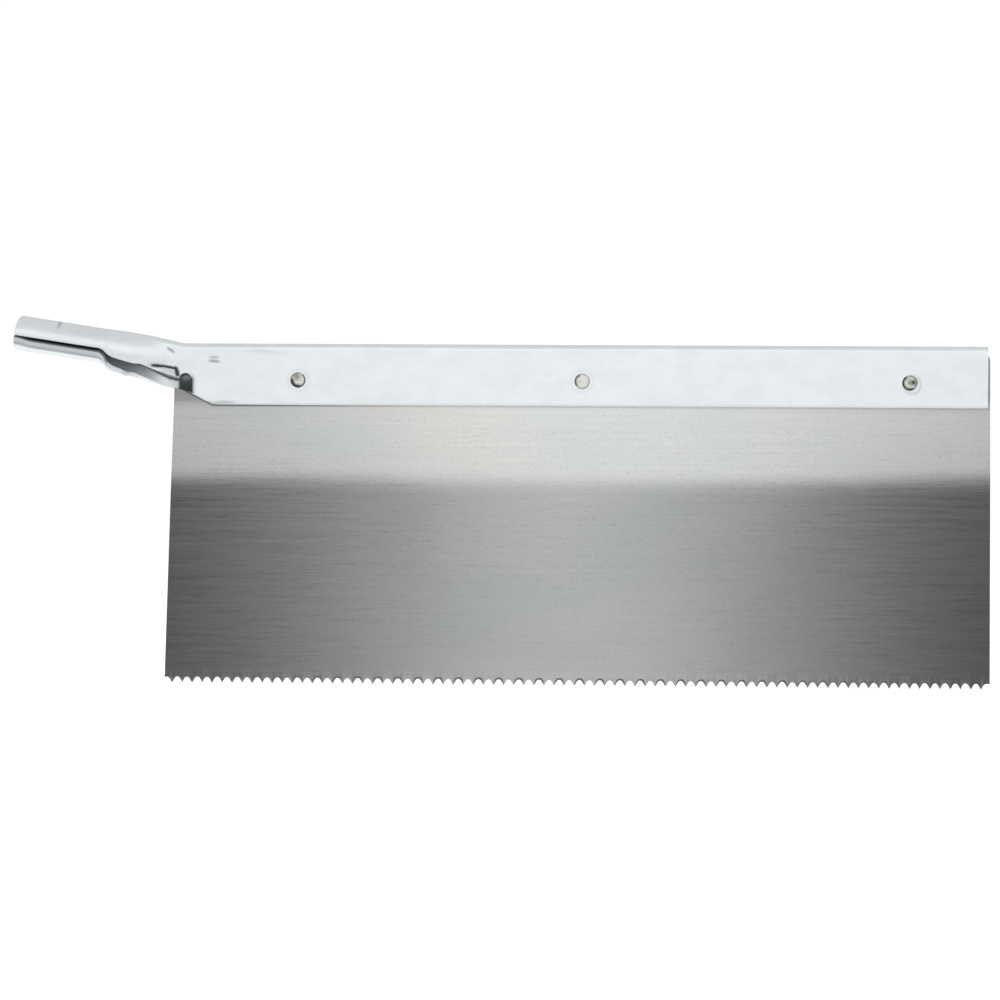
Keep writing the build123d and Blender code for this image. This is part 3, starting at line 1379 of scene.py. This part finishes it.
        # Rounded slot edge, pressed in and with painted shade.
        past, low = x - self.slot[1], self.slot_edge_low
        if 0 <= past < self.slot_edge_run and -flat > low:
            share = smoothstep(low, low + 0.9, -flat)
            rounded = 1 - math.sqrt(max(0.0, 1 - (1 - past / self.slot_edge_run) ** 2))
            depth += self.slot_edge_drop * rounded * share
            darkening = max(darkening, share * smoothstep(0.7, 0.0, past))
        return depth, darkening

    def seam_shade(self, station: Station, flat: float) -> float:
        """Painted shade on the rear side where the tang's seam closes on it: the gap and a band beside it.

        Args:
            station: The section.
            flat: Flat place from the top of the fold.

        Returns:
            A number from 0 to 1.
        """
        over = station.rear - flat
        # Painted shade in the seam's gap and on the band beside it.
        gap = smoothstep(self.seam + 0.1, self.seam - 0.1, over)
        rim = (0.3 + 0.3 * bell(over, 1.0, 0.22)) * smoothstep(1.32, 1.14, over)
        return min(1.0, gap + rim) * smoothstep(9.6, 7.4, station.x)

    def inner_shade_at(self, station: Station, below: float, flat: float) -> float:
        """How much painted shade the inner skin gets at a place: a painted shadow line under the front
        side's edge, fainter shade below it, and painted shade inside the tube and in the slot.

        Args:
            station: The section.
            below: Drop below the edge of the front side.
            flat: Flat place from the top of the fold, negative on the front.

        Returns:
            A number from 0 to 1.
        """
        x = station.x
        # Painted shadow under the front side's edge, painted shade deeper in the neck, inside the tube and
        # in the slot.
        line = 0.97 * smoothstep(0.75, 0.42, below)
        shade = (0.06 + 0.2 * smoothstep(18.0, 10.0, x)) * smoothstep(3.0, 0.8, below)
        inside = smoothstep(7.6, 7.0, x)
        slot = 0.7 * smoothstep(3.8, 4.6, flat) + 0.3 * smoothstep(5.0, 6.3, flat)
        return max(line, shade, smoothstep(18.7, 19.3, x) * slot, inside)

    def bulge(self, x: float, flat: float) -> float:
        """How far the rear side stands out where the neck runs into the fold."""
        along = smoothstep(14.5, 18.5, x) * smoothstep(23.8, 21.0, x)
        return self.lip_bulge * along * smoothstep(2.0, 7.5, flat)

    @staticmethod
    def place(station: Station, spot: Spot, off: float) -> Vector:
        """Point beside the middle line of a section.

        Args:
            station: The section.
            spot: Place on the middle line, as a side gives it.
            off: Distance outwards from the middle line.

        Returns:
            The point in the frame, in millimetres.
        """
        across, down, heading, _ = spot
        y = across + off * math.sin(heading)
        up = -down + off * math.cos(heading)
        return station.origin + Vector((0, y, 0)) + station.up * up

    def rounded_end(self, station: Station, last: Spot, way: int) -> list[Vector]:
        """Points around the sheared edge of one side.

        Args:
            station: The section.
            last: Last point of the side's middle line.
            way: 1 on the rear and -1 on the front.

        Returns:
            The points, from the outer skin to the inner one on the rear, and back on the front.
        """
        across, down, heading, flat = last
        points = []
        true = self.wave(station.x, flat) + self.bulge(station.x, flat)
        for degrees in (30, 60, 120, 150):
            angle = math.radians(degrees)
            ahead = self.edge * math.sin(angle) * way
            off = math.copysign(self.half - self.edge + self.edge * abs(math.cos(angle)), math.cos(angle))
            spot = (across + ahead * math.cos(heading), down + ahead * math.sin(heading), heading, flat)
            points.append(self.place(station, spot, off + true))
        return points if way > 0 else points[::-1]

    def shell(self) -> bpy.types.Object:
        """The bent sheet as one closed shell.

        Returns:
            The shell.
        """
        reach = self.full - self.edge - self.fold_half
        front = spread((0.0, 2.4, 0.17), (2.4, 3.2, 0.4), (3.2, 6.3, 0.2), (6.3, reach, 0.3))
        rear = spread((0.0, 3.0, 0.5), (3.0, reach - 0.4, 0.19), (reach - 0.4, reach, 0.1))
        front, rear = ([cell / reach for cell in cells] for cells in (front, rear))
        stations = self.tang_stations() + self.neck_stations() + self.spine_stations()
        made = [self.ring(station, front, rear) for station in stations]
        rings = [points for points, _ in made]
        self.crimp(rings, stations)
        size, ends = len(rings[0]), 4
        skin = size // 2 - ends
        points = [tuple(p) for ring in rings for p in ring]
        faces = []
        for k in range(len(rings) - 1):
            for i in range(size):
                j = (i + 1) % size
                faces.append([k * size + i, (k + 1) * size + i, (k + 1) * size + j, k * size + j])
        for base in (0, (len(rings) - 1) * size):
            for i in range(skin - 1):
                across = base + 2 * skin + ends - 2 - i
                faces.append([base + i, base + i + 1, across, across + 1])
            faces.append([base + skin - 1 + i for i in range(ends + 2)])
            faces.append([base + size - ends + i for i in range(ends)] + [base, base + 2 * skin + ends - 1])
        shell = mesh_object("folded_back", points, faces)
        # The painted shade of every point is stored on the mesh.
        painted_shade = shell.data.attributes.new(SHADE_ATTRIBUTE, "FLOAT", "POINT")
        painted_shade.data.foreach_set("value", [darkening for _, marks in made for darkening in marks])
        return shell

    def drill(self, made: bpy.types.Object) -> None:
        """Cut the rivet holes.

        Args:
            made: The closed shell.
        """
        across = Matrix.Rotation(math.pi / 2, 4, "X")
        for x in self.rivet_xs:
            cutter_mesh = bpy.data.meshes.new("drill")
            tool = bmesh.new()
            bmesh.ops.create_cone(
                tool,
                cap_ends=True,
                segments=48,
                radius1=self.hole_radius * MM,
                radius2=self.hole_radius * MM,
                depth=4 * self.tang_radius * MM,
                matrix=Matrix.Translation((x * MM, 0, self.rivet_z * MM)) @ across,
            )
            tool.to_mesh(cutter_mesh)
            tool.free()
            cutter = bpy.data.objects.new("drill", cutter_mesh)
            bpy.context.scene.collection.objects.link(cutter)
            cut = made.modifiers.new("drill", "BOOLEAN")
            cut.object, cut.operation, cut.solver = cutter, "DIFFERENCE", "EXACT"
            bake_modifiers(made)
            bpy.data.objects.remove(cutter)

    def crimp(self, rings: list[list[Vector]], stations: list[Station]) -> None:
        """Round off the top of the tang's cut end.

        Args:
            rings: Loops of points, changed in place.
            stations: The section of each loop.
        """
        end = -self.tang_half + self.end_trim
        for ring, station in zip(rings, stations):
            past = station.origin.dot(self.axis) - end
            if past > self.end_round:
                break
            drop = self.end_drop * (1 - math.sqrt(max(0.0, 1 - (1 - past / self.end_round) ** 2)))
            for point in ring:
                height = (point - station.origin).dot(self.axis_up) + self.roll_radius
                share = smoothstep(-0.5, self.tang_radius, height)
                point -= self.axis_up * (drop * share)

    def build(self) -> bpy.types.Object:
        """Make the back and fasten it to the frame.

        Returns:
            The piece.
        """
        made = self.shell()
        weld(made, distance=0.002, sharp=40)
        self.drill(made)
        weld(made, distance=0.001, sharp=40)
        made.data.materials.clear()
        made.data.materials.append(self.finish)
        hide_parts("back")
        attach(made, BODY)
        log.info("%s: %d faces", made.name, len(made.data.polygons))
        return made


# ---- Rivets ------------------------------------------------------------------


def shade_arc(angles: range, out: float, size: float, strength: float) -> tuple[ShadeSpot, ...]:
    """Row of painted shade spots around a rivet's end.

    Args:
        angles: Degrees at which the marks stand, from the toe's side towards the top.
        out: Distance of each from the middle, as a share of the radius.
        size: Half width of each, as a share of the radius.
        strength: How dark each is, from 0 to 1.

    Returns:
        The marks.
    """
    return tuple((angle, out, size, strength) for angle in angles)


@dataclass
class Rivet:
    """One rivet through the back and the plate. Sizes in millimetres.

    The profile is the shape of its end from the middle out, each point a share of the radius and
    a depth below the rivet's highest place. A spot of painted shade is an angle, a distance out,
    a size and a strength.
    """

    node: str
    finish: bpy.types.Material
    profile: Sequence[tuple[float, float]]
    tilt: tuple[float, float] = (0.0, 0.0)
    marks: Sequence[ShadeSpot] = ()
    segments: int = 48

    def __post_init__(self) -> None:
        """Read the rivet's place from the frame."""
        low, high = (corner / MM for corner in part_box(self.node))
        self.x, self.z = (low.x + high.x) / 2, (low.z + high.z) / 2
        self.radius = (high.x - low.x) / 2
        self.half = (high.y - low.y) / 2

    def shade_at(self, across: float, up: float) -> float:
        """How much painted shade the end gets at a place.

        Args:
            across: Place along the back from the middle, as a share of the radius.
            up: Height over the middle, as a share of the radius.

        Returns:
            A number from 0 to 1.
        """
        most = 0.0
        for angle, out, size, strength in self.marks:
            turn = math.radians(angle)
            away = math.hypot(across - out * math.cos(turn), up - out * math.sin(turn))
            most = max(most, strength * bell(away, 0.0, size))
        return most

    def build(self) -> bpy.types.Object:
        """Make the rivet and fasten it to the frame.

        Returns:
            The piece.
        """
        points: list[Point] = []
        for share, depth in (*self.profile, (1.0, self.half)):
            r = share * self.radius
            for i in range(self.segments):
                angle = 2 * math.pi * i / self.segments
                dx, dz = r * math.cos(angle), r * math.sin(angle)
                lean = (self.tilt[0] * dx + self.tilt[1] * dz) * (1 - share**4)
                points.append((dx, -self.half + depth + lean, dz))
        # Painted shade of each point, stored on the mesh.
        painted_shade = [self.shade_at(x / self.radius, z / self.radius) for x, _, z in points]
        faces = []
        for k in range(len(self.profile)):
            for i in range(self.segments):
                j = (i + 1) % self.segments
                a, b = k * self.segments, (k + 1) * self.segments
                faces.append([a + i, a + j, b + j, b + i])
        made = mesh_object(self.node + "_pin", points, faces)
        made.data.attributes.new(SHADE_ATTRIBUTE, "FLOAT", "POINT").data.foreach_set("value", painted_shade)
        Repeater(Repeat.PAIR).apply(
            made, Count=2, Step=(0.0, 0.0, 0.0), Turn=math.pi, Weld=0.004 * MM, Finish=self.finish
        )
        made.data.transform(Matrix.Translation((self.x * MM, 0, self.z * MM)))
        weld(made, distance=0.004, sharp=50)
        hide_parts(self.node)
        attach(made, BODY)
        log.info("%s: %d faces", made.name, len(made.data.polygons))
        return made


def three_rivets(finish: bpy.types.Material) -> list[Rivet]:
    """The three rivets, each set in its own way: deep and tilted, flush, and ringed.

    Args:
        finish: Material of the rivets.

    Returns:
        The rivets, from the heel to the toe.
    """
    face = (0.15, 0.3, 0.42, 0.54, 0.66, 0.76)
    ring = ((0.0, 0.30), (0.15, 0.29), (0.3, 0.16), (0.45, 0.08), (0.6, 0.06), (0.84, 0.12), (1.0, 0.34))
    # Painted shade on the rivet ends: dark arcs along the rim of each recess, and dark spots on the faces.
    deep_shading = shade_arc(range(-175, -75, 10), 0.80, 0.30, 1.0)
    deep_shading += shade_arc(range(-80, 50, 8), 0.88, 0.15, 0.9)
    deep_shading += ((115, 0.5, 0.6, 0.7), (60, 0.6, 0.35, 0.3))
    flush_shading = shade_arc(range(120, 215, 8), 0.92, 0.24, 0.9)
    flush_shading += shade_arc(range(-140, 120, 6), 0.95, 0.16, 0.4)
    flush_shading += ((185, 0.32, 0.16, 0.4), (0, 0.1, 0.5, 0.08))
    ring_shading = shade_arc(range(125, 300, 8), 0.88, 0.25, 1.0)
    ring_shading += ((0, 0.0, 0.2, 0.85), (8, 0.5, 0.42, 1.0), (40, 0.9, 0.16, 0.5), (90, 0.6, 0.45, 0.35))
    deep = ((0.0, 0.42), *((share, 0.41) for share in face), (0.86, 0.44), (0.97, 0.55), (1.0, 0.6))
    flush = ((0.0, 0.06), *((share, 0.05) for share in face), (0.93, 0.05), (1.0, 0.12))
    return [
        Rivet("rivet_heel", finish, deep, (0.12, 0.1), deep_shading),
        Rivet("rivet_middle", finish, flush, (0.0, 0.0), flush_shading),
        Rivet("rivet_toe", finish, ring, (-0.1, 0.1), ring_shading),
    ]


# ---- Studio ------------------------------------------------------------------


@dataclass(frozen=True)
class Studio:
    """Camera, soft light and pale floor. Places in millimetres, angles in degrees.

    The window is the soft band of light ahead: its middle and its half width, across over ahead,
    below the horizon and, wider, above it.
    """

    camera_at: Point = (98.15, -568.65, -6.05)
    yaw: float = -2.856
    pitch: float = -1.902
    roll: float = 0.283
    lens: float = 130.71
    floor_z: float = -78.0
    floor_half: float = 900.0
    floor_glow: float = 0.65
    white: tuple[float, ...] = (0.9, 0.9, 0.9, 1.0)
    seen_sky: float = 1.05
    window: tuple[float, float] = (-0.030, 0.067)
    wide_window: tuple[float, float] = (-0.022, 0.105)

    def camera(self) -> None:
        """Place the camera."""
        yaw, pitch, roll = (math.radians(a) for a in (self.yaw, self.pitch, self.roll))
        ahead = Vector((math.sin(yaw) * math.cos(pitch), math.cos(yaw) * math.cos(pitch), math.sin(pitch)))
        right = Vector((math.cos(yaw), -math.sin(yaw), 0))
        up = right.cross(ahead)
        right, up = (
            right * math.cos(roll) + up * math.sin(roll),
            up * math.cos(roll) - right * math.sin(roll),
        )
        data = bpy.data.cameras.new("camera")
        data.lens, data.sensor_width = self.lens, 36.0
        made = bpy.data.objects.new("camera", data)
        turn = Matrix((right, up, -ahead)).transposed().to_4x4()
        made.matrix_world = Matrix.Translation(Vector(self.camera_at) * MM) @ turn
        bpy.context.scene.collection.objects.link(made)
        bpy.context.scene.camera = made

    def surroundings(self) -> None:
        """White room: bright above, dim low in front, with a soft window of light ahead."""
        world = bpy.data.worlds.new("room")
        bpy.context.scene.world = world
        world.use_nodes = True
        nodes = Nodes(world.node_tree)
        way = nodes.add("ShaderNodeTexCoord").outputs["Generated"]
        x, y, z = (Maths(nodes, s) for s in nodes.add("ShaderNodeSeparateXYZ", Vector=way).outputs)
        front = y.step(0.25, -0.35)
        across = x / (y * -1.0).most(0.2)
        above = z.step(-0.02, 0.03)
        level = front * abs(z).step(0.32, 0.12)
        window, wide = across.bell(*self.window), across.bell(*self.wide_window)
        high = 0.92 - 0.16 * front - 0.32 * z.step(0.12, 0.7)
        high = high + (0.62 + 0.62 * wide - high) * level
        low = 0.82 - 0.45 * front
        low = low + (0.06 + 0.73 * window - low) * level
        light = low + (high - low) * above
        seen = Maths(nodes, nodes.add("ShaderNodeLightPath").outputs["Is Camera Ray"])
        strength = light + (self.seen_sky - light) * seen
        sky = nodes.add("ShaderNodeBackground", Color=(1.0, 1.0, 1.0, 1.0), Strength=strength)
        nodes.add("ShaderNodeOutputWorld", Surface=sky.outputs[0])

    def floor(self) -> None:
        """Pale floor under the blade."""
        h, z = self.floor_half, self.floor_z
        made = mesh_object("floor", [(-h, -h, z), (h, -h, z), (h, h, z), (-h, h, z)], [[0, 1, 2, 3]])
        pale = bpy.data.materials.new("pale_floor")
        pale.use_nodes = True
        nodes = Nodes(pale.node_tree)
        matt = nodes.add("ShaderNodeBsdfDiffuse", Color=self.white)
        glow = nodes.add("ShaderNodeEmission", Color=self.white, Strength=self.floor_glow)
        both = nodes.add("ShaderNodeAddShader", Shader=matt.outputs[0], Shader_001=glow.outputs[0])
        nodes.add("ShaderNodeOutputMaterial", Surface=both.outputs[0])
        made.data.materials.append(pale)
        made.visible_glossy = False

    @staticmethod
    def softbox(name: str, place: Point, size: float, power: float) -> None:
        """Square soft light that faces the blade.

        Args:
            name: Name of the light.
            place: Its middle, in millimetres.
            size: Length of a side, in millimetres.
            power: Power in watts.
        """
        lamp = bpy.data.lights.new(name, "AREA")
        lamp.shape, lamp.size, lamp.energy = "SQUARE", size * MM, power
        hung = bpy.data.objects.new(name, lamp)
        middle = Vector((70, 0, -25))
        turn = (Vector(place) - middle).to_track_quat("Z", "Y")
        hung.matrix_world = Matrix.Translation(Vector(place) * MM) @ turn.to_matrix().to_4x4()
        hung.visible_camera = False
        hung.visible_glossy = False
        bpy.context.scene.collection.objects.link(hung)

    def build(self) -> None:
        """Set up everything around the blade."""
        self.camera()
        self.surroundings()
        self.floor()
        self.softbox("overhead", (80, 100, 1100), 1600, 0.3)
        self.softbox("fill", (80, -760, 120), 500, 2.4)
        bpy.context.scene.view_settings.view_transform = "Standard"


# ---- Put together ------------------------------------------------------------


def main() -> None:
    """Build the pieces in order."""
    logging.basicConfig(level=logging.INFO, format="%(message)s")
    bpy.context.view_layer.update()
    Studio().build()
    steel, zinc, pin = BrushedSteel().make(), ZincPlate().make(), RivetSteel().make()
    Plate(steel).build()
    rivets = three_rivets(pin)
    for rivet in rivets:
        rivet.build()
    FoldedBack(zinc, [rivet.x for rivet in rivets], rivets[0].z).build()


if __name__ == "__main__":
    main()
